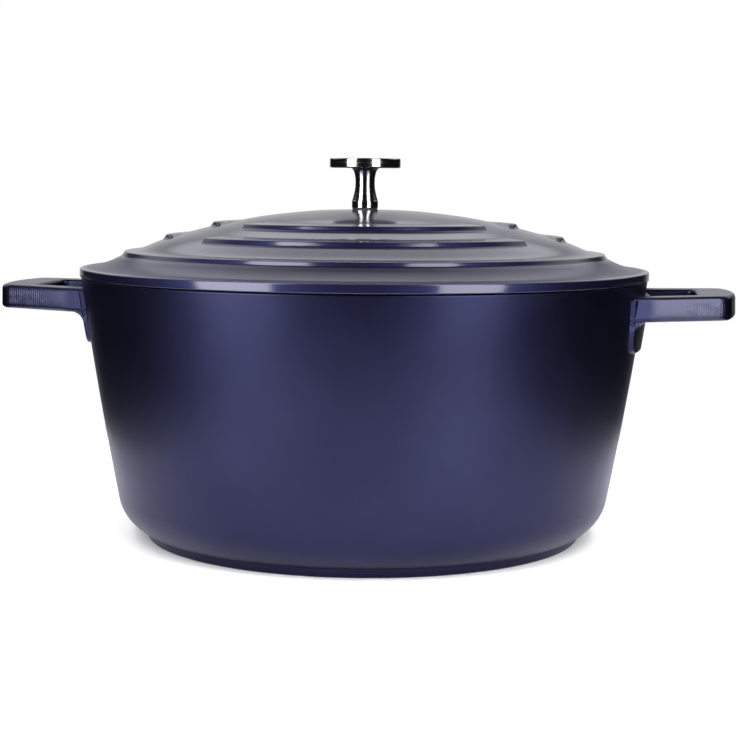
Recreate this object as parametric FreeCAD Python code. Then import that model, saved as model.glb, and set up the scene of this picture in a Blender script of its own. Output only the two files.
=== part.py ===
# Round cast iron dutch oven with a stepped, domed lid.
# Millimetres, +Z up.  Origin: centre of the foot ring, on the plane it stands on.
# The two loop handles lie along X.
import FreeCAD, Part
import math
import os

V = FreeCAD.Vector
os.makedirs("parts", exist_ok=True)

# ---------------------------------------------------------------- pot
RIM_Z = 138.5            # top face of the pot rim
RIM_R = 150.3            # outer radius of the rim
BELLY = (144.1, 95.8)    # wall: radius, height (the wall is very slightly bellied)
HIP = (131.6, 23.0)      # wall: where the lower corner starts
FLOOR_UNDER_Z = 3.0      # underside of the floor, inside the foot ring
CORNER_R = 23.0          # outer lower corner
WALL_T = 4.2             # wall of the casting
FLOOR_T = 5.2            # floor of the casting
RIM_EDGE_R = 0.8
FOOT_TOP_Z = 5.5         # foot ring
FOOT_TOP_R = 117.8
FOOT_LOW_R = 115.8
FOOT_IN_R = 104.0
FOOT_EDGE_R = 1.6
LINING_T = 0.5           # enamel lining

# ---------------------------------------------------------------- loop handles
HANDLE_TOP_Z = 132.6     # top face where it meets the pot
HANDLE_T = 12.6          # height of the bars
HANDLE_TILT = 1.4        # degrees, rising outwards
HANDLE_END_X = 195.4     # outermost point
HANDLE_CORNER_X = 190.6  # straight end of the side bars
HANDLE_IN_X = 175.7      # inner face of the outer bar
HANDLE_HALF_ROOT = 42.4  # half width over the side bars at the pot
HANDLE_HALF_TIP = 33.9
LOOP_HALF_ROOT = 28.0    # half width of the finger opening at the pot
LOOP_HALF_TIP = 23.3
HANDLE_CORNER_R = 8.0
LOOP_CORNER_R = 4.5
HANDLE_EDGE_R = 2.3
PAD_T = 2.4              # raised pad under each handle
PAD_HALF_TOP = 47.5
PAD_HALF_LOW = 37.0
PAD_LOW_Z = 103.0
PAD_CORNER_R = 11.0
ROOT_R = 5.0             # blend of the bars into the pad

# ---------------------------------------------------------------- lid
S = 151.0                # outer radius of the lid flange; lid profile is scaled by it
EDGE_Z = 143.5           # top edge of the flange
FLANGE_UNDER_Z = 139.0   # underside of the flange, 0.5 above the pot rim
SEAT_IN_R = 144.4        # flat seat that rests on the pot rim
SEAT_OUT_R = 148.2
PLUG_OUT_R = 143.6       # locating ring that drops into the mouth
PLUG_IN_R = 140.2
PLUG_LOW_Z = 133.6
LID_T = 3.6              # shell thickness, measured vertically
LID_TURN = 8.0           # degrees the lid's own front is turned from the pot's front
FRONT_HALF = 48.8        # front step arcs: half angle about the lid's front
BACK_HALF = 100.5        # back step arcs: half angle about the lid's back
SMOOTH = [(0.10, 0.2045), (0.15, 0.2026), (0.20, 0.1990), (0.30, 0.1885), (0.40, 0.1738),
          (0.45, 0.1638), (0.50, 0.1535), (0.55, 0.1422), (0.60, 0.1290), (0.65, 0.1160),
          (0.70, 0.1007), (0.75, 0.0815), (0.80, 0.0630), (0.82, 0.0597), (0.845, 0.0575)]
SKIRT = [(0.8535, 0.0425), (0.865, 0.0362), (0.88, 0.0285), (0.90, 0.0199), (0.92, 0.0130),
         (0.95, 0.0052), (0.975, 0.0014), (0.9945, 0.0)]
# inner start, lip and foot of the two broken steps
STEP_1 = ((0.450, 0.1638), (0.5350, 0.1595), (0.5450, 0.1434))
STEP_2 = ((0.635, 0.1199), (0.7000, 0.1145), (0.7110, 0.0967))
LIP_R = 0.45
PIP_R = 1.3              # small round nose that ends each back step
HUB_R = 13.0             # boss under the middle of the lid
HUB_T = 8.0
SEAT_KNOB_R = 8.5        # flat spot under the knob
SEAT_KNOB_Z = 174.45

# ---------------------------------------------------------------- knob and its fastening
GASKET_R = 6.7
GASKET_T = 0.8
COLLAR_R = 7.0
COLLAR_TOP_Z = 179.2
DISC_R = 18.95
DISC_LOW_Z = 196.6
KNOB_TOP_Z = 201.7
STEM = [(180.6, 6.50), (183.9, 5.66), (188.6, 5.16), (193.2, 5.60), (195.9, 6.75)]
SCREW_R = 2.95           # M6 machine screw
BORE_R = 3.0
LID_HOLE_R = 3.3
SCREW_HEAD_R = 6.0
SCREW_HEAD_H = 3.3
FLAT_WASHER_R = 8.0
FLAT_WASHER_T = 1.2
LOCK_WASHER_R = 5.3
LOCK_WASHER_T = 1.5
SCREW_TIP_Z = 189.0


def P(r, z):
    return V(r, 0, z)


def lid(p):
    return P(p[0] * S, EDGE_Z + p[1] * S)


def seg(a, b):
    return Part.LineSegment(a, b).toShape()


def arc3(a, b, c):
    return Part.Arc(a, b, c).toShape()


def spline(points, start=None, end=None):
    curve = Part.BSplineCurve()
    if start is not None and end is not None:
        curve.interpolate(Points=points, InitialTangent=start, FinalTangent=end)
    else:
        curve.interpolate(points)
    return curve.toShape()


def turn(edges, start=0.0, sweep=360.0):
    face = Part.Face(Part.Wire(Part.__sortEdges__(edges)))
    solid = face.revolve(V(0, 0, 0), V(0, 0, 1), sweep)
    if start:
        solid.rotate(V(0, 0, 0), V(0, 0, 1), start)
    return Part.Solid(solid) if solid.ShapeType != "Solid" else solid


def lathe(points, sweep=360.0, start=0.0):
    pts = [P(*p) for p in points]
    return turn([seg(pts[i], pts[(i + 1) % len(pts)]) for i in range(len(pts))], start, sweep)


def save(shape, name):
    if shape.ShapeType == "Compound" and len(shape.Solids) == 1:
        shape = shape.Solids[0]
    box = shape.BoundBox
    print("%-20s solids %d valid %s vol %.0f  x %.1f..%.1f y %.1f..%.1f z %.2f..%.2f" % (
        name, len(shape.Solids), shape.isValid(), shape.Volume,
        box.XMin, box.XMax, box.YMin, box.YMax, box.ZMin, box.ZMax))
    shape.exportStep("parts/%s.step" % name)


# ================================================================ pot casting
def circle_through(a, b, c):
    """Centre and radius in the r-z plane."""
    ax, ay = a
    bx, by = b
    cx, cy = c
    d = 2 * (ax * (by - cy) + bx * (cy - ay) + cx * (ay - by))
    ux = ((ax ** 2 + ay ** 2) * (by - cy) + (bx ** 2 + by ** 2) * (cy - ay) + (cx ** 2 + cy ** 2) * (ay - by)) / d
    uy = ((ax ** 2 + ay ** 2) * (cx - bx) + (bx ** 2 + by ** 2) * (ax - cx) + (cx ** 2 + cy ** 2) * (bx - ax)) / d
    return (ux, uy), math.hypot(ax - ux, ay - uy)


(WALL_CR, WALL_CZ), WALL_RHO = circle_through(HIP, BELLY, (RIM_R, RIM_Z))


def wall_r(z, inset=0.0):
    """Outer radius of the wall at height z, moved inwards by inset."""
    rho = WALL_RHO - inset
    return WALL_CR + math.sqrt(rho ** 2 - (z - WALL_CZ) ** 2)


def wall_point(t_z, inset=0.0):
    return P(wall_r(t_z, inset), t_z)


def corner(inset, floor_z, radius):
    """Lower corner: an arc tangent to the wall (moved in by inset) and to the plane floor_z."""
    cz = floor_z + radius
    # the arc's centre lies on a circle about the wall's centre
    rho = WALL_RHO - inset - radius
    cr = WALL_CR + math.sqrt(rho ** 2 - (cz - WALL_CZ) ** 2)
    k = (WALL_RHO - inset) / rho
    tr, tz = WALL_CR + (cr - WALL_CR) * k, WALL_CZ + (cz - WALL_CZ) * k
    return (cr, cz), (tr, tz)


def cup_edges(inset, floor_z, radius, top_z):
    """Half profile of a cup surface from the axis out and up to the rim."""
    (cr, cz), (tr, tz) = corner(inset, floor_z, radius)
    a0 = -math.pi / 2
    a1 = math.atan2(tz - cz, tr - cr)
    am = (a0 + a1) / 2
    mid = P(cr + radius * math.cos(am), cz + radius * math.sin(am))
    z_mid = (tz + top_z) / 2
    floor = seg(P(0, floor_z), P(cr, floor_z))
    bend = arc3(P(cr, floor_z), mid, P(tr, tz))
    wall = arc3(P(tr, tz), P(wall_r(z_mid, inset), z_mid), P(wall_r(top_z, inset), top_z))
    return [floor, bend, wall], (cr, cz), (tr, tz)


def cup_solid(outer, inner):
    """Cup between two profiles given as (inset, floor_z, radius, top_z)."""
    eo, co, to = cup_edges(*outer)
    ei, ci, ti = cup_edges(*inner)
    edges = eo + ei
    edges.append(seg(P(wall_r(outer[3], outer[0]), outer[3]), P(wall_r(inner[3], inner[0]), inner[3])))
    edges.append(seg(P(0, outer[1]), P(0, inner[1])))
    return turn(edges)


inner_floor = FLOOR_UNDER_Z + FLOOR_T
casting = cup_solid((0.0, FLOOR_UNDER_Z, CORNER_R, RIM_Z), (WALL_T, inner_floor, CORNER_R - WALL_T, RIM_Z))

# foot ring, with a lightly drafted outside face and a rounded lower edge
foot = lathe([(FOOT_IN_R, 0.0), (FOOT_LOW_R, 0.0), (FOOT_TOP_R, FOOT_TOP_Z + 0.4), (FOOT_TOP_R - 7.0, 7.2),
              (FOOT_IN_R + 2.0, 5.0), (FOOT_IN_R, 5.0)])
edges = [e for e in foot.Edges if abs(e.BoundBox.ZMin) < 1e-6 and abs(e.BoundBox.ZMax) < 1e-6
         and e.BoundBox.XLength > 150]
foot = foot.makeFillet(FOOT_EDGE_R, edges)
casting = casting.fuse(foot)

# raised pads: the wall surface moved out by PAD_T, trimmed to a shield outline
band = turn([
    arc3(P(wall_r(95.0, -PAD_T), 95.0), P(wall_r(115.0, -PAD_T), 115.0), P(wall_r(137.0, -PAD_T), 137.0)),
    seg(P(wall_r(137.0, -PAD_T), 137.0), P(wall_r(137.0, 2.5), 137.0)),
    arc3(P(wall_r(137.0, 2.5), 137.0), P(wall_r(115.0, 2.5), 115.0), P(wall_r(95.0, 2.5), 95.0)),
    seg(P(wall_r(95.0, 2.5), 95.0), P(wall_r(95.0, -PAD_T), 95.0)),
])


def shield():
    top = HANDLE_TOP_Z - 1.6
    pts = [V(100, -PAD_HALF_TOP, top), V(100, -PAD_HALF_LOW, PAD_LOW_Z), V(100, PAD_HALF_LOW, PAD_LOW_Z),
           V(100, PAD_HALF_TOP, top)]
    prism = Part.Face(Part.makePolygon(pts + [pts[0]])).extrude(V(80, 0, 0))
    low = [e for e in prism.Edges if e.BoundBox.XLength > 70 and e.BoundBox.ZMax < PAD_LOW_Z + 1]
    return prism.makeFillet(PAD_CORNER_R, low)


def handle():
    """Loop handle on +X, as a tilted flat ring with rounded edges, running into the wall."""
    k = (HANDLE_HALF_ROOT - HANDLE_HALF_TIP) / (151.0 - 191.8)
    kl = (LOOP_HALF_ROOT - LOOP_HALF_TIP) / (151.0 - HANDLE_IN_X)
    x0 = 141.0
    yo0 = HANDLE_HALF_ROOT + k * (x0 - 151.0)
    yo1 = HANDLE_HALF_ROOT + k * (HANDLE_CORNER_X - 151.0)
    outer = Part.Wire([
        seg(V(x0, -yo0, 0), V(HANDLE_CORNER_X, -yo1, 0)),
        arc3(V(HANDLE_CORNER_X, -yo1, 0), V(HANDLE_END_X, 0, 0), V(HANDLE_CORNER_X, yo1, 0)),
        seg(V(HANDLE_CORNER_X, yo1, 0), V(x0, yo0, 0)),
        seg(V(x0, yo0, 0), V(x0, -yo0, 0)),
    ])
    slab = Part.Face(outer).extrude(V(0, 0, HANDLE_T))
    corners = [e for e in slab.Edges if e.BoundBox.ZLength > HANDLE_T - 0.1 and e.BoundBox.XMin > 180]
    slab = slab.makeFillet(HANDLE_CORNER_R, corners)
    rim = [e for e in slab.Edges if e.BoundBox.ZLength < 0.01 and e.BoundBox.XMax > x0 + 1]
    slab = slab.makeFillet(HANDLE_EDGE_R, rim)

    xi = 136.0
    yi0 = LOOP_HALF_ROOT + kl * (xi - 151.0)
    loop = Part.makePolygon([V(xi, -yi0, -1), V(HANDLE_IN_X, -LOOP_HALF_TIP, -1),
                             V(HANDLE_IN_X, LOOP_HALF_TIP, -1), V(xi, yi0, -1), V(xi, -yi0, -1)])
    hole = Part.Face(loop).extrude(V(0, 0, HANDLE_T + 2))
    corners = [e for e in hole.Edges if e.BoundBox.ZLength > HANDLE_T and e.BoundBox.XMin > 170]
    hole = hole.makeFillet(LOOP_CORNER_R, corners)
    ring = slab.cut(hole)
    inner = []
    for e in ring.Edges:
        b = e.BoundBox
        flat = b.ZLength < 0.01 and (abs(b.ZMin) < 0.01 or abs(b.ZMax - HANDLE_T) < 0.01)
        if flat and b.XMax > x0 + 1 and abs(b.YMax) < LOOP_HALF_ROOT + 3 and abs(b.YMin) < LOOP_HALF_ROOT + 3 \
                and b.XMax <= HANDLE_IN_X + 0.01:
            inner.append(e)
    ring = ring.makeFillet(HANDLE_EDGE_R - 0.5, inner)
    ring.translate(V(0, 0, HANDLE_TOP_Z - HANDLE_T))
    ring.rotate(V(151.0, 0, HANDLE_TOP_Z), V(0, 1, 0), -HANDLE_TILT)
    return ring


pad = band.common(shield())
outline = [e for e in pad.Edges if e.BoundBox.XMin > 100 and e.BoundBox.ZMin < 130
           and all(abs(math.hypot(v.X, v.Y) - wall_r(v.Z, -PAD_T)) < 0.02 for v in e.Vertexes)]
try:
    pad = pad.makeFillet(0.9, outline)
except Exception as err:
    print("pad outline left sharp:", err)
bars = handle().cut(lathe([(0, 60), (wall_r(60, 1.5), 60), (wall_r(RIM_Z, 1.5), RIM_Z), (0, RIM_Z)]))
grip = pad.fuse(bars)
# concave blend under the bars where they run into the pad
under_z = HANDLE_TOP_Z - HANDLE_T + 0.1
root_r = wall_r(under_z, -PAD_T)
low_r = wall_r(under_z - ROOT_R, -PAD_T)
web = turn([
    seg(P(low_r - 2.0, under_z - ROOT_R), P(low_r, under_z - ROOT_R)),
    arc3(P(low_r, under_z - ROOT_R), P(root_r + 0.29 * ROOT_R, under_z - 0.29 * ROOT_R), P(root_r + ROOT_R, under_z)),
    seg(P(root_r + ROOT_R, under_z), P(root_r + ROOT_R, under_z + 1.2)),
    seg(P(root_r + ROOT_R, under_z + 1.2), P(low_r - 2.0, under_z + 1.2)),
    seg(P(low_r - 2.0, under_z + 1.2), P(low_r - 2.0, under_z - ROOT_R)),
])
k_bar = (HANDLE_HALF_ROOT - HANDLE_HALF_TIP) / (151.0 - 191.8)
for side in (-1, 1):
    y_in = LOOP_HALF_ROOT + 0.19 * 15.0 + 1.2
    y_out = HANDLE_HALF_ROOT + k_bar * (135.0 - 151.0) - 1.6
    y_in2, y_out2 = LOOP_HALF_ROOT - 0.19 * 9.0 + 1.2, HANDLE_HALF_ROOT + k_bar * 9.0 - 1.6
    foot_print = Part.makePolygon([V(135, side * y_in, under_z - ROOT_R - 1), V(160, side * y_in2, under_z - ROOT_R - 1),
                                   V(160, side * y_out2, under_z - ROOT_R - 1), V(135, side * y_out, under_z - ROOT_R - 1),
                                   V(135, side * y_in, under_z - ROOT_R - 1)])
    grip = grip.fuse(web.common(Part.Face(foot_print).extrude(V(0, 0, ROOT_R + 3))))
other = grip.copy()
other.rotate(V(0, 0, 0), V(0, 0, 1), 180)
pot = casting.fuse([grip, other]).removeSplitter()
# rounded rim edges
rim_edges = []
for e in pot.Edges:
    b = e.BoundBox
    if abs(b.ZMin - RIM_Z) < 1e-4 and abs(b.ZMax - RIM_Z) < 1e-4 and b.XMax - b.XMin > 250:
        rim_edges.append(e)
outer_rim = [e for e in rim_edges if e.BoundBox.XMax > RIM_R - 1]
pot = pot.makeFillet(RIM_EDGE_R, outer_rim)
save(pot, "pot_body")

lining = cup_solid((WALL_T, inner_floor, CORNER_R - WALL_T, RIM_Z - 0.8),
                   (WALL_T + LINING_T, inner_floor + LINING_T, CORNER_R - WALL_T - LINING_T, RIM_Z - 0.8))
save(lining, "pot_enamel_lining")


# ================================================================ lid casting
def dome_z(r):
    """Height of the lid's smooth outer surface, linear between its points."""
    pts = [(0.0, 0.2048)] + SMOOTH + SKIRT
    q = r / S
    for a, b in zip(pts, pts[1:]):
        if a[0] <= q <= b[0]:
            return EDGE_Z + S * (a[1] + (b[1] - a[1]) * (q - a[0]) / (b[0] - a[0]))
    return EDGE_Z


outer_dome = spline([P(SEAT_KNOB_R, SEAT_KNOB_Z)] + [lid(p) for p in SMOOTH])
lip3, foot3 = lid(SMOOTH[-1]), lid(SKIRT[0])
skirt = spline([lid(p) for p in SKIRT])
edge_top = lid(SKIRT[-1])
inner_pts = [(HUB_R + 2.5, None)] + [(r, None) for r in (30.0, 50.0, 70.0, 90.0, 105.0, 120.0, 132.0)]
inner_curve = [P(r, dome_z(r) - LID_T) for r, _ in inner_pts] + [P(PLUG_IN_R, EDGE_Z - 2.2)]
under = spline(inner_curve)
hub_low = SEAT_KNOB_Z - HUB_T
profile = [
    seg(P(LID_HOLE_R, SEAT_KNOB_Z), P(SEAT_KNOB_R, SEAT_KNOB_Z)),
    outer_dome,
    seg(lip3, foot3),
    skirt,
    seg(edge_top, P(S, EDGE_Z - 0.7)),
    seg(P(S, EDGE_Z - 0.7), P(S, FLANGE_UNDER_Z + 0.4)),
    seg(P(S, FLANGE_UNDER_Z + 0.4), P(S - 0.4, FLANGE_UNDER_Z)),
    seg(P(S - 0.4, FLANGE_UNDER_Z), P(SEAT_OUT_R + 0.5, FLANGE_UNDER_Z)),
    seg(P(SEAT_OUT_R + 0.5, FLANGE_UNDER_Z), P(SEAT_OUT_R, RIM_Z)),
    seg(P(SEAT_OUT_R, RIM_Z), P(PLUG_OUT_R, RIM_Z)),
    seg(P(PLUG_OUT_R, RIM_Z), P(PLUG_OUT_R, PLUG_LOW_Z + 1.0)),
    seg(P(PLUG_OUT_R, PLUG_LOW_Z + 1.0), P(PLUG_OUT_R - 1.0, PLUG_LOW_Z)),
    seg(P(PLUG_OUT_R - 1.0, PLUG_LOW_Z), P(PLUG_IN_R + 0.6, PLUG_LOW_Z)),
    seg(P(PLUG_IN_R + 0.6, PLUG_LOW_Z), P(PLUG_IN_R, PLUG_LOW_Z + 0.6)),
    seg(P(PLUG_IN_R, PLUG_LOW_Z + 0.6), P(PLUG_IN_R, EDGE_Z - 2.2)),
    under,
    seg(inner_curve[0], P(HUB_R, hub_low)),
    seg(P(HUB_R, hub_low), P(LID_HOLE_R, hub_low)),
    seg(P(LID_HOLE_R, hub_low), P(LID_HOLE_R, SEAT_KNOB_Z)),
]
cover = turn(profile)
sharp = []
for e in cover.Edges:
    b = e.BoundBox
    if b.ZLength < 1e-4 and b.XLength > 20:
        r = b.XMax
        if abs(r - lip3.x) < 0.01 and abs(b.ZMax - lip3.z) < 0.01:
            sharp.append(e)
cover = cover.makeFillet(LIP_R, sharp)


def step(points, half, facing):
    """One broken step: a low wedge on the dome whose outer face is the riser."""
    start, lip, foot_ = points
    rr = [start[0], lip[0], foot_[0]]
    a, b, c = lid(start), lid(lip), lid(foot_)
    d, e_ = P(c.x, c.z - 1.6), P(a.x, a.z - 2.2)
    m = P((a.x + b.x) / 2, (a.z + b.z) / 2 + 0.12)
    edges_ = [arc3(a, m, b), seg(b, c), seg(c, d), seg(d, e_), seg(e_, a)]
    # facing: 270 is the front (-Y), 90 the back
    s = turn(edges_, start=facing - half, sweep=2 * half)
    lips = [e for e in s.Edges if abs(e.BoundBox.ZMax - b.z) < 1e-3 and e.BoundBox.ZLength < 1e-3]
    return s.makeFillet(LIP_R, lips)


steps = []
for pts in (STEP_1, STEP_2):
    steps.append(step(pts, FRONT_HALF, 270.0))
    steps.append(step(pts, BACK_HALF, 90.0))
cover = cover.fuse(steps)
# the round noses at the ends of the back steps
pips = []
for pts in (STEP_1, STEP_2):
    lp = lid(pts[1])
    for side in (-1, 1):
        a = math.radians(90 + side * BACK_HALF)
        r = lp.x - 2.1
        pips.append(Part.makeSphere(PIP_R, V(r * math.cos(a), r * math.sin(a), lp.z - 1.3)))
cover = cover.fuse(pips)
cover.rotate(V(0, 0, 0), V(0, 0, 1), LID_TURN)
save(cover, "lid_casting")

lid_lining_outer = spline(inner_curve)
low = [V(p.x, 0, p.z - LINING_T) for p in inner_curve]
lid_lining = turn([lid_lining_outer, seg(inner_curve[0], low[0]), spline(low), seg(low[-1], inner_curve[-1])])
save(lid_lining, "lid_enamel_lining")

# ================================================================ knob
gasket_top = SEAT_KNOB_Z + GASKET_T
gasket = lathe([(LID_HOLE_R, SEAT_KNOB_Z), (GASKET_R, SEAT_KNOB_Z), (GASKET_R, gasket_top), (LID_HOLE_R, gasket_top)])
save(gasket, "knob_gasket")

stem_pts = [P(COLLAR_R - 0.15, COLLAR_TOP_Z + 0.1)] + [P(r, z) for z, r in STEM] + [P(7.6, DISC_LOW_Z)]
knob = turn([
    seg(P(BORE_R, gasket_top), P(COLLAR_R - 0.35, gasket_top)),
    seg(P(COLLAR_R - 0.35, gasket_top), P(COLLAR_R, gasket_top + 0.35)),
    seg(P(COLLAR_R, gasket_top + 0.35), P(COLLAR_R, COLLAR_TOP_Z - 0.15)),
    seg(P(COLLAR_R, COLLAR_TOP_Z - 0.15), stem_pts[0]),
    spline(stem_pts),
    seg(stem_pts[-1], P(DISC_R - 0.9, DISC_LOW_Z)),
    arc3(P(DISC_R - 0.9, DISC_LOW_Z), P(DISC_R - 0.264, DISC_LOW_Z + 0.264), P(DISC_R, DISC_LOW_Z + 0.9)),
    seg(P(DISC_R, DISC_LOW_Z + 0.9), P(DISC_R, KNOB_TOP_Z - 0.7)),
    arc3(P(DISC_R, KNOB_TOP_Z - 0.7), P(DISC_R - 0.205, KNOB_TOP_Z - 0.205), P(DISC_R - 0.7, KNOB_TOP_Z)),
    seg(P(DISC_R - 0.7, KNOB_TOP_Z), P(0, KNOB_TOP_Z)),
    seg(P(0, KNOB_TOP_Z), P(0, SCREW_TIP_Z + 2.0)),
    seg(P(0, SCREW_TIP_Z + 2.0), P(BORE_R, SCREW_TIP_Z + 0.4)),
    seg(P(BORE_R, SCREW_TIP_Z + 0.4), P(BORE_R, gasket_top)),
])
save(knob, "lid_knob")

# washers and screw under the lid
z = hub_low
flat = lathe([(LID_HOLE_R - 0.1, z - FLAT_WASHER_T), (FLAT_WASHER_R, z - FLAT_WASHER_T), (FLAT_WASHER_R, z),
              (LID_HOLE_R - 0.1, z)])
save(flat, "knob_flat_washer")
z -= FLAT_WASHER_T
lock = lathe([(SCREW_R + 0.2, z - LOCK_WASHER_T), (LOCK_WASHER_R, z - LOCK_WASHER_T), (LOCK_WASHER_R, z),
              (SCREW_R + 0.2, z)], sweep=354.0, start=3.0)
save(lock, "knob_lock_washer")
z -= LOCK_WASHER_T
screw = turn([
    seg(P(0, SCREW_TIP_Z), P(SCREW_R - 0.6, SCREW_TIP_Z)),
    seg(P(SCREW_R - 0.6, SCREW_TIP_Z), P(SCREW_R, SCREW_TIP_Z - 0.6)),
    seg(P(SCREW_R, SCREW_TIP_Z - 0.6), P(SCREW_R, z)),
    seg(P(SCREW_R, z), P(SCREW_HEAD_R, z)),
    seg(P(SCREW_HEAD_R, z), P(SCREW_HEAD_R, z - 1.2)),
    arc3(P(SCREW_HEAD_R, z - 1.2), P(SCREW_HEAD_R * 0.72, z - SCREW_HEAD_H + 0.45), P(0, z - SCREW_HEAD_H)),
    seg(P(0, z - SCREW_HEAD_H), P(0, SCREW_TIP_Z)),
])
slot = Part.makeBox(5.6, 1.1, 1.8, V(-2.8, -0.55, z - SCREW_HEAD_H - 0.2))
cross = Part.makeBox(1.1, 5.6, 1.8, V(-0.55, -2.8, z - SCREW_HEAD_H - 0.2))
screw = screw.cut([slot, cross])
save(screw, "knob_screw")
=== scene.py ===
import math

import bmesh
import bpy
from mathutils import Matrix, Vector


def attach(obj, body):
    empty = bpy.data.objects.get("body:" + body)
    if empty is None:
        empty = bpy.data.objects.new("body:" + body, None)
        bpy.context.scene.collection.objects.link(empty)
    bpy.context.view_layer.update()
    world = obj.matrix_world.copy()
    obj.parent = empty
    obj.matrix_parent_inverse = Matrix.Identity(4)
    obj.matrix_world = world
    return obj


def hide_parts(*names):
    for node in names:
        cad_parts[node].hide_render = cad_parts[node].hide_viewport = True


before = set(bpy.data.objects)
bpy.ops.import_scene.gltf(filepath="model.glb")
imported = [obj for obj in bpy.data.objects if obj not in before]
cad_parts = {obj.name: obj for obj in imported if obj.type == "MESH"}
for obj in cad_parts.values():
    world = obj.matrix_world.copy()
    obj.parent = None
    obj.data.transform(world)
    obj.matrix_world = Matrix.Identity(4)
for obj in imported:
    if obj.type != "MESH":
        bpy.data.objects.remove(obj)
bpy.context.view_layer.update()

TURN = math.radians(8.08)        # the pot is turned this much from the camera's axis


def cam_xy(right, away, up):
    """A point given along the camera's right and away directions, about the pot's axis."""
    c, s = math.cos(TURN), math.sin(TURN)
    return Vector((right * c - away * s, right * s + away * c, up))


# ------------------------------------------------------------------ camera
cam_data = bpy.data.cameras.new("camera")
cam = bpy.data.objects.new("camera", cam_data)
bpy.context.scene.collection.objects.link(cam)
cam_data.sensor_width = 36.0
cam_data.sensor_fit = "HORIZONTAL"
cam_data.lens = 1749.8 / 736.0 * 36.0
cam_data.shift_x = 0.00587
cam_data.clip_start = 0.02
cam_data.clip_end = 20.0
cam.matrix_world = (Matrix.Translation(cam_xy(0.0, -0.940, 0.1902))
                    @ Matrix.Rotation(TURN, 4, "Z")
                    @ Matrix.Rotation(math.radians(90.0 - 6.13), 4, "X")
                    @ Matrix.Rotation(math.radians(0.44), 4, "Z"))
bpy.context.scene.camera = cam


# ------------------------------------------------------------------ material helpers
class Mat:
    """A node material with short helpers."""

    def __init__(self, name):
        self.mat = bpy.data.materials.new(name)
        self.mat.use_nodes = True
        self.nt = self.mat.node_tree
        self.nt.nodes.clear()
        self.out = self.nt.nodes.new("ShaderNodeOutputMaterial")
        self.bsdf = self.nt.nodes.new("ShaderNodeBsdfPrincipled")
        self.link(self.bsdf.outputs["BSDF"], self.out.inputs["Surface"])
        self.coord = self.nt.nodes.new("ShaderNodeTexCoord")
        self.geom = self.nt.nodes.new("ShaderNodeNewGeometry")

    def link(self, a, b):
        self.nt.links.new(a, b)

    def put(self, socket, value):
        if isinstance(value, bpy.types.NodeSocket):
            self.link(value, socket)
        else:
            socket.default_value = value

    def set(self, **values):
        for key, value in values.items():
            self.put(self.bsdf.inputs[key.replace("_", " ")], value)

    def math(self, op, a, b=None, c=None, clamp=False):
        n = self.nt.nodes.new("ShaderNodeMath")
        n.operation = op
        n.use_clamp = clamp
        for i, v in enumerate((a, b, c)):
            if v is not None:
                self.put(n.inputs[i], v)
        return n.outputs[0]

    def vmath(self, op, a, b=None, out=0):
        n = self.nt.nodes.new("ShaderNodeVectorMath")
        n.operation = op
        self.put(n.inputs[0], a)
        if b is not None:
            self.put(n.inputs[1], b)
        return n.outputs[out]

    def split(self, v):
        n = self.nt.nodes.new("ShaderNodeSeparateXYZ")
        self.link(v, n.inputs[0])
        return n.outputs

    def join(self, x, y, z):
        n = self.nt.nodes.new("ShaderNodeCombineXYZ")
        for i, v in enumerate((x, y, z)):
            self.put(n.inputs[i], v)
        return n.outputs[0]

    def noise(self, vector, scale, detail=3.0, rough=0.5, distort=0.0):
        n = self.nt.nodes.new("ShaderNodeTexNoise")
        self.link(vector, n.inputs["Vector"])
        n.inputs["Scale"].default_value = scale
        n.inputs["Detail"].default_value = detail
        n.inputs["Roughness"].default_value = rough
        n.inputs["Distortion"].default_value = distort
        return n.outputs["Fac"]

    def voronoi(self, vector, scale, feature="F1"):
        n = self.nt.nodes.new("ShaderNodeTexVoronoi")
        n.feature = feature
        self.link(vector, n.inputs["Vector"])
        n.inputs["Scale"].default_value = scale
        return n.outputs["Distance"]

    def ramp(self, fac, lo, hi, a=0.0, b=1.0):
        """Smooth map of fac from lo..hi to a..b."""
        n = self.nt.nodes.new("ShaderNodeMapRange")
        n.interpolation_type = "SMOOTHSTEP"
        for i, v in zip((0, 1, 2, 3, 4), (fac, lo, hi, a, b)):
            self.put(n.inputs[i], v)
        return n.outputs[0]

    def line(self, fac, lo, hi, a=0.0, b=1.0):
        n = self.nt.nodes.new("ShaderNodeMapRange")
        for i, v in zip((0, 1, 2, 3, 4), (fac, lo, hi, a, b)):
            self.put(n.inputs[i], v)
        return n.outputs[0]

    def mix(self, fac, a, b):
        n = self.nt.nodes.new("ShaderNodeMix")
        n.data_type = "RGBA"
        self.put(n.inputs["Factor"], fac)
        self.put(n.inputs[6], a)
        self.put(n.inputs[7], b)
        return n.outputs[2]

    def bump(self, height, strength, distance, normal=None):
        n = self.nt.nodes.new("ShaderNodeBump")
        self.put(n.inputs["Strength"], strength)
        n.inputs["Distance"].default_value = distance
        self.link(height, n.inputs["Height"])
        if normal is not None:
            self.link(normal, n.inputs["Normal"])
        return n.outputs["Normal"]


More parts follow.
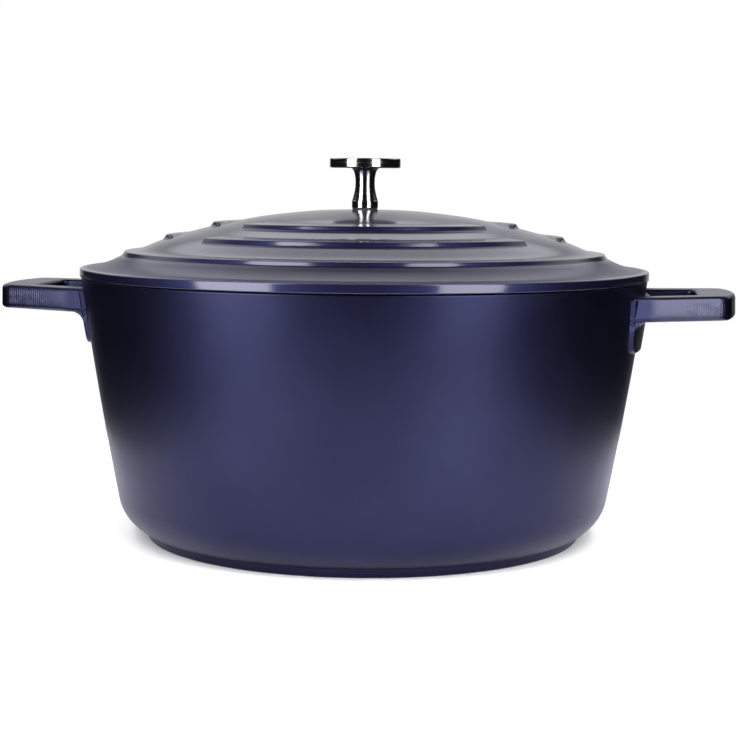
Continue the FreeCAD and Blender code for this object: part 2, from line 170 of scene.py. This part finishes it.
def indigo(name, rough, coat, coat_rough, handles=False):
    """Satin indigo coat over cast iron."""
    m = Mat(name)
    p = m.coord.outputs["Object"]
    broad = m.noise(p, 14.0, 4.0, 0.55)
    cloud = m.noise(p, 60.0, 3.0, 0.5)
    peel = m.noise(p, 620.0, 2.0, 0.45)
    grit = m.noise(p, 3600.0, 2.0, 0.6)
    deep = (0.0115, 0.0122, 0.0365, 1.0) if handles else (0.0125, 0.0135, 0.045, 1.0)
    pale = (0.0160, 0.0170, 0.0475, 1.0) if handles else (0.018, 0.0195, 0.060, 1.0)
    colour = m.mix(m.line(broad, 0.3, 0.7, 0.0, 1.0), deep, pale)
    m.set(Metallic=1.0, Base_Color=colour)
    r = m.math("ADD", m.line(cloud, 0.25, 0.75, rough - 0.02, rough + 0.02), m.line(grit, 0.2, 0.8, -0.02, 0.02))
    n = m.bump(peel, 0.10, 0.00012)
    n = m.bump(grit, 0.05, 0.00003, n)
    if not handles:
        # the skirt of the lid is a little drier than its terraces and its rim
        x, y, z = m.split(p)
        rr = m.math("SQRT", m.math("ADD", m.math("MULTIPLY", x, x), m.math("MULTIPLY", y, y)))
        dry = m.math("MULTIPLY", m.ramp(rr, 0.1265, 0.1330), m.ramp(rr, 0.1495, 0.1465))
        coat = m.line(dry, 0.0, 1.0, coat, 0.42)
    if handles:
        # the handles are rubbed glossier than the wall, and their long sides are crowned and carry tool chatter
        x, y, z = m.split(p)
        ax = m.math("ABSOLUTE", x)
        grip = m.ramp(ax, 0.1500, 0.1560)
        flank = m.ramp(m.math("ABSOLUTE", m.split(m.geom.outputs["Normal"])[1]), 0.70, 0.90)
        mid = m.math("MULTIPLY_ADD", m.math("SUBTRACT", ax, 0.151), 0.0244, 0.1263)
        up = m.math("DIVIDE", m.math("SUBTRACT", z, mid), 0.0063)
        crown = m.math("SUBTRACT", 1.0, m.math("MULTIPLY", up, up))
        n = m.bump(crown, m.math("MULTIPLY", grip, flank), 0.00060, n)
        sway = m.noise(p, 95.0, 2.0, 0.5)
        wave = m.math("SINE", m.math("MULTIPLY_ADD", sway, 5.0, m.math("MULTIPLY", ax, 5464.0)))
        along = m.math("MULTIPLY", m.ramp(ax, 0.1600, 0.1720), m.ramp(ax, 0.1935, 0.1885))
        across = m.ramp(m.math("ABSOLUTE", up), 0.80, 0.35)
        patch = m.ramp(m.noise(p, 210.0, 2.0, 0.5), 0.35, 0.62, 0.25, 1.0)
        marks = m.math("MULTIPLY", m.math("MULTIPLY", along, across), m.math("MULTIPLY", patch, flank))
        n = m.bump(m.math("MULTIPLY", wave, marks), 1.0, 0.000026, n)
        coat = m.line(grip, 0.0, 1.0, coat, 0.50)
        coat_rough = m.line(grip, 0.0, 1.0, coat_rough, 0.20)
    m.set(Roughness=r, Coat_Weight=coat, Coat_Roughness=coat_rough, Coat_IOR=1.5, Specular_Tint=(0.90, 0.88, 1.0, 1.0))
    m.set(Normal=n)
    m.put(m.bsdf.inputs["Coat Normal"], n)
    return m.mat


def steel(name, rough, turned=True):
    m = Mat(name)
    p = m.coord.outputs["Object"]
    x, y, z = m.split(p)
    r = m.math("SQRT", m.math("ADD", m.math("MULTIPLY", x, x), m.math("MULTIPLY", y, y)))
    rings = m.join(m.math("MULTIPLY", r, 1.0), 0.0, z)
    line = m.noise(rings, 5200.0, 3.0, 0.7)
    wide = m.noise(rings, 900.0, 2.0, 0.5)
    smear = m.noise(p, 130.0, 3.0, 0.5)
    colour = m.mix(m.line(line, 0.3, 0.7), (0.27, 0.262, 0.25, 1.0), (0.40, 0.392, 0.38, 1.0))
    m.set(Metallic=1.0, Base_Color=colour)
    ro = m.math("ADD", m.line(wide, 0.3, 0.7, rough - 0.03, rough + 0.05), m.line(smear, 0.3, 0.7, -0.02, 0.03))
    m.set(Roughness=ro, Anisotropic=0.6, Anisotropic_Rotation=0.25)
    t = m.nt.nodes.new("ShaderNodeTangent")
    t.direction_type = "RADIAL"
    t.axis = "Z"
    m.link(t.outputs[0], m.bsdf.inputs["Tangent"])
    m.set(Normal=m.bump(line, 0.18, 0.00003))
    return m.mat


def enamel(name):
    m = Mat(name)
    p = m.coord.outputs["Object"]
    speck = m.voronoi(p, 420.0)
    cloud = m.noise(p, 30.0, 3.0, 0.5)
    peel = m.noise(p, 260.0, 2.0, 0.5)
    base = m.mix(m.line(cloud, 0.3, 0.7), (0.70, 0.67, 0.60, 1.0), (0.77, 0.74, 0.67, 1.0))
    dark = m.ramp(speck, 0.02, 0.14, 1.0, 0.0)
    m.set(Base_Color=m.mix(m.math("MULTIPLY", dark, 0.5), base, (0.20, 0.19, 0.18, 1.0)))
    m.set(Roughness=m.line(cloud, 0.3, 0.7, 0.10, 0.17), Coat_Weight=0.4, Coat_Roughness=0.05)
    m.set(Normal=m.bump(peel, 0.12, 0.0002))
    return m.mat


def rubber(name):
    m = Mat(name)
    p = m.coord.outputs["Object"]
    n = m.noise(p, 1500.0, 3.0, 0.6)
    m.set(Base_Color=m.mix(n, (0.010, 0.010, 0.011, 1.0), (0.03, 0.03, 0.032, 1.0)))
    m.set(Roughness=m.line(n, 0.2, 0.8, 0.55, 0.75), Normal=m.bump(n, 0.2, 0.00005))
    return m.mat


def give(node, mat):
    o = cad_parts[node]
    if not o.material_slots:
        o.data.materials.append(mat)
    for s in o.material_slots:
        s.material = mat


pot_coat = indigo("indigo_pot", 0.40, 0.10, 0.28, True)
lid_coat = indigo("indigo_lid", 0.47, 0.9, 0.12)
knob_steel = steel("turned_steel", 0.15)
screw_steel = steel("fastener_steel", 0.32)
white_enamel = enamel("cream_enamel")
black_rubber = rubber("black_rubber")
give("pot_body", pot_coat)
give("lid_casting", lid_coat)
give("pot_enamel_lining", white_enamel)
give("lid_enamel_lining", white_enamel)
give("lid_knob", knob_steel)
give("knob_flat_washer", screw_steel)
give("knob_lock_washer", screw_steel)
give("knob_screw", screw_steel)
give("knob_gasket", black_rubber)



# ------------------------------------------------------------------ lid shell, built finely
MM = 0.001
RL = 151.0          # flange radius, mm
EDGE = 143.5        # top edge of the flange, mm
LID_TURN = 8.0
DOME = [(0.10, 0.2045), (0.15, 0.2026), (0.20, 0.1990), (0.30, 0.1885), (0.40, 0.1738),
        (0.45, 0.1638), (0.50, 0.1535), (0.55, 0.1422), (0.60, 0.1290), (0.65, 0.1160),
        (0.70, 0.1007), (0.75, 0.0815), (0.80, 0.0630), (0.82, 0.0597), (0.845, 0.0575)]
SKIRT = [(0.8535, 0.0425), (0.865, 0.0362), (0.88, 0.0285), (0.90, 0.0199), (0.92, 0.0130),
         (0.95, 0.0052), (0.975, 0.0014), (0.9945, 0.0)]
STEPS = [((0.450, 0.1638), (0.5350, 0.1595), (0.5450, 0.1434)),
         ((0.635, 0.1199), (0.7000, 0.1145), (0.7110, 0.0967))]
FRONT_HALF, BACK_HALF = 48.8, 97.5
LIP_R, FOOT_R = 0.6, 1.9


def mm(p):
    return (p[0] * RL, EDGE + p[1] * RL)


def spline(points):
    """Natural cubic through points with rising x; returns a function."""
    xs = [p[0] for p in points]
    ys = [p[1] for p in points]
    n = len(xs)
    h = [xs[i + 1] - xs[i] for i in range(n - 1)]
    al = [0.0] * n
    for i in range(1, n - 1):
        al[i] = 3 * ((ys[i + 1] - ys[i]) / h[i] - (ys[i] - ys[i - 1]) / h[i - 1])
    l, mu, z = [1.0] * n, [0.0] * n, [0.0] * n
    for i in range(1, n - 1):
        l[i] = 2 * (xs[i + 1] - xs[i - 1]) - h[i - 1] * mu[i - 1]
        mu[i] = h[i] / l[i]
        z[i] = (al[i] - h[i - 1] * z[i - 1]) / l[i]
    c, b, d = [0.0] * n, [0.0] * n, [0.0] * n
    for j in range(n - 2, -1, -1):
        c[j] = z[j] - mu[j] * c[j + 1]
        b[j] = (ys[j + 1] - ys[j]) / h[j] - h[j] * (c[j + 1] + 2 * c[j]) / 3
        d[j] = (c[j + 1] - c[j]) / (3 * h[j])

    def f(x):
        j = 0
        while j < n - 2 and x > xs[j + 1]:
            j += 1
        t = x - xs[j]
        return ys[j] + b[j] * t + c[j] * t * t + d[j] * t ** 3
    return f


dome = spline([(8.5, 174.45)] + [mm(p) for p in DOME])
skirt = spline([mm(p) for p in SKIRT])


def rounded(points, radii, steps=10):
    """Polyline through points with its inner corners rounded by the given radii."""
    out = [points[0]]
    for i in range(1, len(points) - 1):
        p, a, b = Vector(points[i]), Vector(points[i - 1]), Vector(points[i + 1])
        u, w = (a - p), (b - p)
        lu, lw = u.length, w.length
        u.normalize()
        w.normalize()
        ang = math.acos(max(-1.0, min(1.0, u.dot(w))))
        t = radii[i] / math.tan(ang / 2)
        t = min(t, 0.9 * lu, 0.9 * lw)
        rad = t * math.tan(ang / 2)
        mid = (u + w).normalized()
        c = p + mid * (rad / math.sin(ang / 2))
        s, e = p + u * t - c, p + w * t - c
        full = s.angle(e)
        for k in range(steps + 1):
            q = s.slerp(e, k / steps, s) if full > 1e-6 else s
            out.append(tuple((c + q.normalized() * rad)))
    out.append(points[-1])
    return out


def table_of(points):
    """Height against radius from a polyline with rising radius."""
    pts = sorted(points)

    def f(x):
        lo, hi = 0, len(pts) - 1
        if x <= pts[0][0]:
            return pts[0][1]
        if x >= pts[-1][0]:
            return pts[-1][1]
        while hi - lo > 1:
            m = (lo + hi) // 2
            if pts[m][0] <= x:
                lo = m
            else:
                hi = m
        a, b = pts[lo], pts[hi]
        return a[1] + (b[1] - a[1]) * (x - a[0]) / max(1e-9, b[0] - a[0])
    return f


def riser(start, lip, foot, after):
    """Crowned terrace from start to lip, riser, rounded foot running out on the surface after it."""
    (sr, sz), (lr, lz), (fr, fz) = start, lip, foot
    pts = []
    n = 10
    for i in range(n):
        t = i / n
        pts.append((sr + (lr - sr) * t, sz + (lz - sz) * t + 0.12 * 4 * t * (1 - t)))
    run = [(fr + d, after(fr + d)) for d in (3.2, 6.0)]
    corner = rounded([pts[-1], (lr, lz), (fr, after(fr)), run[0]], [0, LIP_R, FOOT_R, 0])
    return table_of(pts + corner[1:] + run[1:])


step_tables = []
for st in STEPS:
    s0, l0, f0 = mm(st[0]), mm(st[1]), mm(st[2])
    step_tables.append((s0[0], f0[0] + 6.0, riser(s0, l0, f0, dome)))
lip3, foot3 = mm(DOME[-1]), mm(SKIRT[0])


def base(r):
    """Outer surface without the two broken steps: dome, full step, skirt."""
    return full_step(r) if r > lip3[0] - 3.0 else dome(r)


corner3 = rounded([(lip3[0] - 3.0, dome(lip3[0] - 3.0)), lip3, (foot3[0], foot3[1]), (foot3[0] + 3.4, skirt(foot3[0] + 3.4))],
                  [0, LIP_R, FOOT_R, 0])
full_step = table_of([(lip3[0] - 3.0 + 0.3 * i, dome(lip3[0] - 3.0 + 0.3 * i)) for i in range(6)] + corner3[1:-1]
                     + [(foot3[0] + 3.4 + 0.5 * i, skirt(foot3[0] + 3.4 + 0.5 * i)) for i in range(36)]
                     + [mm(SKIRT[-1])])


def smooth(x):
    x = max(0.0, min(1.0, x))
    return x * x * (3 - 2 * x)


def window(deg, half, soft):
    """1 inside +-half degrees, falling to 0 over soft degrees outside."""
    d = abs((deg + 180.0) % 360.0 - 180.0)
    return 1.0 - smooth((d - half) / soft)


BACK_RUN = 4.5       # mm over which a back step runs out at its ends
PIP_R = 1.3          # mm, the small round nose in each run-out


def lid_height(r, deg):
    """Outer height in mm at radius r, deg measured from the lid's front."""
    z = base(r)
    for (r0, r1, f) in step_tables:
        if r0 <= r <= r1:
            run = BACK_RUN + 0.5 * max(0.0, r1 - 6.0 - 2.4 - r)
            w = max(window(deg, FRONT_HALF, 0.45), window(deg - 180.0, BACK_HALF, math.degrees(run / r)))
            if w > 0:
                z += w * (f(r) - dome(r))
    return z


def radii_of_lid():
    rs = [8.5 + 1.5 * i for i in range(1, 36)]
    for st in STEPS:
        s0, l0, f0 = mm(st[0]), mm(st[1]), mm(st[2])
        rs = [r for r in rs if not (l0[0] - 2.4 < r < f0[0] + 4.2)]
        r = l0[0] - 2.4
        while r < f0[0] + 4.2:
            rs.append(r)
            near = l0[0] - 0.9 < r < f0[0] + 2.4
            r += 0.13 if near else 0.4
    last = max(rs)
    r = last + 1.5
    while r < lip3[0] - 2.6:
        rs.append(r)
        r += 1.5
    r = lip3[0] - 2.5
    while r < foot3[0] + 5.0:
        rs.append(r)
        near = lip3[0] - 0.9 < r < foot3[0] + 2.6
        r += 0.13 if near else 0.4
    while r < SKIRT[-1][0] * RL - 0.8:
        rs.append(r)
        r += 1.1
    more = []
    rs = sorted(rs)
    # fill any wide gap left between the groups
    for a, b in zip(rs, rs[1:]):
        more.append(a)
        k = int((b - a) / 1.6)
        for i in range(k):
            more.append(a + (b - a) * (i + 1) / (k + 1))
    more.append(rs[-1])
    return more


def lid_angles():
    degs = set(round(0.75 * i, 4) for i in range(480))
    for side in (-1, 1):
        for k in range(-1, 8):
            degs.add(round((side * (FRONT_HALF + 0.45 * k / 6.0)) % 360.0, 4))
        for k in range(-2, 17):
            degs.add(round((180.0 + side * (BACK_HALF + 0.25 * k)) % 360.0, 4))
    out = []
    for d in sorted(degs):
        if not out or d - out[-1] > 0.02:
            out.append(d)
    return out


def build_lid():
    degs = lid_angles()
    n = len(degs)
    dirs = []
    for d in degs:
        a = math.radians(-90.0 + d + LID_TURN)
        dirs.append((math.cos(a), math.sin(a)))
    verts, rows = [], []

    def ring(r, z):
        start = len(verts)
        for i, (c, s) in enumerate(dirs):
            zz = z(degs[i]) if callable(z) else z
            verts.append((r * c * MM, r * s * MM, zz * MM))
        rows.append(start)

    ring(3.3, 166.45)
    ring(3.3, 174.3)
    ring(3.45, 174.45)
    ring(6.0, 174.45)
    ring(8.45, 174.45)
    ring(8.5, 174.45)
    for r in radii_of_lid():
        ring(r, lambda d, r=r: lid_height(r, d))
    et = SKIRT[-1][0] * RL
    # rounded upper edge, side band, underside
    for k in range(7):
        a = math.radians(90.0 - 15.0 * k)
        ring(RL - 0.7 + 0.7 * math.cos(a) - 0.0, EDGE - 0.75 + 0.7 * math.sin(a))
    ring(RL, EDGE - 2.0)
    for k in range(5):
        a = math.radians(-22.5 * k)
        ring(RL - 0.4 + 0.4 * math.cos(a), 139.4 + 0.4 * math.sin(a))
    for r, z in ((149.6, 139.0), (148.7, 139.0), (148.2, 138.5), (143.6, 138.5), (143.6, 134.6), (143.35, 134.0),
                 (142.6, 133.6), (140.8, 133.6), (140.35, 133.8), (140.2, 134.2)):
        ring(r, z)
    inner = [(15.5, None), (30.0, None), (50.0, None), (70.0, None), (90.0, None), (105.0, None), (120.0, None), (132.0, None)]

    def cad_dome(r):
        q = r / RL
        pts = [(0.0, 0.2048)] + DOME + SKIRT
        for a, b in zip(pts, pts[1:]):
            if a[0] <= q <= b[0]:
                return EDGE + RL * (a[1] + (b[1] - a[1]) * (q - a[0]) / (b[0] - a[0]))
        return EDGE
    under = spline([(r, cad_dome(r) - 3.6) for r, _ in inner] + [(140.2, 141.3)])
    for k in range(41):
        r = 140.2 + (15.5 - 140.2) * k / 40
        ring(r, under(r))
    ring(13.0, 166.45)
    faces = []
    m = len(rows)
    for j in range(m):
        a, b = rows[j], rows[(j + 1) % m]
        for i in range(n):
            k = (i + 1) % n
            faces.append((a + i, b + i, b + k, a + k))
    me = bpy.data.meshes.new("lid_shell")
    me.from_pydata(verts, [], faces)
    me.validate()
    o = bpy.data.objects.new("lid_shell", me)
    bpy.context.scene.collection.objects.link(o)
    bm = bmesh.new()
    bm.from_mesh(me)
    bmesh.ops.recalc_face_normals(bm, faces=bm.faces)
    bm.to_mesh(me)
    bm.free()
    me.polygons.foreach_set("use_smooth", [True] * len(me.polygons))
    me.set_sharp_from_angle(angle=math.radians(33))
    return o


lid_shell = build_lid()
lid_shell.data.materials.append(lid_coat)
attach(lid_shell, "lid")
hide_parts("lid_casting")


def build_noses():
    """Four small round noses, one at each end of the two back steps."""
    bm = bmesh.new()
    for st in STEPS:
        lr, lz = mm(st[1])
        for side in (-1, 1):
            a = math.radians(90.0 + LID_TURN + side * 100.5)
            r = lr - 2.1
            place = Matrix.Translation(Vector((r * math.cos(a), r * math.sin(a), lz - 1.3)) * MM)
            bmesh.ops.create_uvsphere(bm, u_segments=32, v_segments=20, radius=PIP_R * MM, matrix=place)
    me = bpy.data.meshes.new("lid_noses")
    bm.to_mesh(me)
    bm.free()
    me.polygons.foreach_set("use_smooth", [True] * len(me.polygons))
    me.materials.append(lid_coat)
    o = bpy.data.objects.new("lid_noses", me)
    bpy.context.scene.collection.objects.link(o)
    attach(o, "lid")
    return o


build_noses()


# ------------------------------------------------------------------ floor
def floor():
    half_w, front, back = 0.265, -0.37, 0.34
    pts = []
    corner = 0.10
    for cx, cy, a0 in ((half_w - corner, back - corner, 0), (-half_w + corner, back - corner, 90),
                       (-half_w + corner, front + corner, 180), (half_w - corner, front + corner, 270)):
        for i in range(13):
            a = math.radians(a0 + 90 * i / 12)
            pts.append(cam_xy(cx + corner * math.cos(a), cy + corner * math.sin(a), 0.0))
    n = len(pts)
    low = [p - Vector((0, 0, 0.012)) for p in pts]
    me = bpy.data.meshes.new("floor")
    me.from_pydata(pts + low, [], [list(range(n))] + [[i, n + i, n + (i + 1) % n, (i + 1) % n] for i in range(n)])
    o = bpy.data.objects.new("floor", me)
    bpy.context.scene.collection.objects.link(o)
    m = Mat("floor_white")
    p = m.coord.outputs["Object"]
    grain = m.noise(p, 300.0, 3.0, 0.5)
    m.set(Base_Color=m.mix(grain, (0.86, 0.86, 0.86, 1.0), (0.90, 0.90, 0.90, 1.0)), Roughness=0.6)
    me.materials.append(m.mat)
    return o


table = floor()


def surround():
    """Wide white sheet just under the table top, seen by the camera only, and only from above."""
    w = 3.0
    me = bpy.data.meshes.new("surround")
    me.from_pydata([(-w, -w, -0.0004), (w, -w, -0.0004), (w, w, -0.0004), (-w, w, -0.0004)], [], [(0, 1, 2, 3)])
    o = bpy.data.objects.new("surround", me)
    bpy.context.scene.collection.objects.link(o)
    m = Mat("surround_white")
    m.set(Base_Color=(0.0, 0.0, 0.0, 1.0), Roughness=1.0, Specular_IOR_Level=0.0, Emission_Color=(1.0, 1.0, 1.0, 1.0), Emission_Strength=1.0)
    me.materials.append(m.mat)
    tree = m.mat.node_tree
    out = next(n for n in tree.nodes if n.type == "OUTPUT_MATERIAL")
    white = out.inputs["Surface"].links[0].from_socket
    side = tree.nodes.new("ShaderNodeNewGeometry")
    clear = tree.nodes.new("ShaderNodeBsdfTransparent")
    one_sided = tree.nodes.new("ShaderNodeMixShader")
    tree.links.new(side.outputs["Backfacing"], one_sided.inputs[0])
    tree.links.new(white, one_sided.inputs[1])
    tree.links.new(clear.outputs[0], one_sided.inputs[2])
    tree.links.new(one_sided.outputs[0], out.inputs["Surface"])
    o.visible_glossy = False
    o.visible_diffuse = False
    o.visible_transmission = False
    o.visible_shadow = False
    return o


surround()


# ------------------------------------------------------------------ light
def panel(name, centre, look, width, height, power, colour=(1, 1, 1)):
    data = bpy.data.lights.new(name, "AREA")
    data.shape = "RECTANGLE"
    data.size = width
    data.size_y = height
    data.energy = power
    data.color = colour
    o = bpy.data.objects.new(name, data)
    bpy.context.scene.collection.objects.link(o)
    d = (look - centre).normalized()
    o.matrix_world = Matrix.Translation(centre) @ d.to_track_quat("-Z", "Y").to_matrix().to_4x4()
    o.visible_camera = False
    return o


# two tall soft boxes in front, left and right
panel("soft_left", cam_xy(-0.332, -0.342, 0.36), cam_xy(0, 0, 0.30), 0.250, 0.70, 4.9)
panel("soft_right", cam_xy(0.278, -0.389, 0.36), cam_xy(0, 0, 0.30), 0.205, 0.70, 3.7)


# a lamp over the table that lights only the table
lamp = panel("table_lamp", cam_xy(0.0, 0.0, 1.4), cam_xy(0, 0, 0), 1.6, 1.6, 34.0)
only = bpy.data.collections.new("table_only")
only.objects.link(table)
lamp.light_linking.receiver_collection = only

world = bpy.data.worlds.new("studio")
bpy.context.scene.world = world
world.use_nodes = True
nt = world.node_tree
nt.nodes.clear()


def wn(kind):
    return nt.nodes.new(kind)


def wmath(op, a, b=None, clamp=False):
    n = wn("ShaderNodeMath")
    n.operation = op
    n.use_clamp = clamp
    for i, v in enumerate((a, b)):
        if v is None:
            continue
        if isinstance(v, bpy.types.NodeSocket):
            nt.links.new(v, n.inputs[i])
        else:
            n.inputs[i].default_value = v
    return n.outputs[0]


def wramp(fac, lo, hi, a, b):
    n = wn("ShaderNodeMapRange")
    n.interpolation_type = "SMOOTHSTEP"
    nt.links.new(fac, n.inputs[0])
    for i, v in zip((1, 2, 3, 4), (lo, hi, a, b)):
        n.inputs[i].default_value = v
    return n.outputs[0]


tc = wn("ShaderNodeTexCoord")
mp = wn("ShaderNodeMapping")
mp.vector_type = "VECTOR"
mp.inputs["Rotation"].default_value = (0.0, 0.0, -TURN)
nt.links.new(tc.outputs["Generated"], mp.inputs["Vector"])
sep = wn("ShaderNodeSeparateXYZ")
nt.links.new(mp.outputs[0], sep.inputs[0])
away, up = sep.outputs[1], sep.outputs[2]
back = wmath("MULTIPLY", wramp(away, 0.86, 0.97, 0.0, 1.0), wramp(up, 0.08, 0.24, 0.62, 0.50))    # sheet behind
top = wmath("MULTIPLY", wmath("MULTIPLY", wramp(up, 0.24, 0.44, 0.0, 1.0), wramp(up, 0.74, 0.96, 1.0, 0.0)), wramp(away, 0.05, 0.45, 0.0, 1.25))       # box high behind
level = wmath("ADD", wmath("MAXIMUM", back, top), 0.012)
strength = wn("ShaderNodeBackground")
strength.inputs["Color"].default_value = (1, 1, 1, 1)
nt.links.new(level, strength.inputs["Strength"])
white = wn("ShaderNodeBackground")
white.inputs["Strength"].default_value = 1.0
white.inputs["Color"].default_value = (1, 1, 1, 1)
path = wn("ShaderNodeLightPath")
sw = wn("ShaderNodeMixShader")
nt.links.new(path.outputs["Is Camera Ray"], sw.inputs[0])
nt.links.new(strength.outputs[0], sw.inputs[1])
nt.links.new(white.outputs[0], sw.inputs[2])
wout = wn("ShaderNodeOutputWorld")
nt.links.new(sw.outputs[0], wout.inputs["Surface"])

bpy.context.scene.view_settings.view_transform = "Standard"
bpy.context.scene.view_settings.look = "None"
bpy.context.scene.view_settings.exposure = 0.0
bpy.context.scene.view_settings.gamma = 1.0
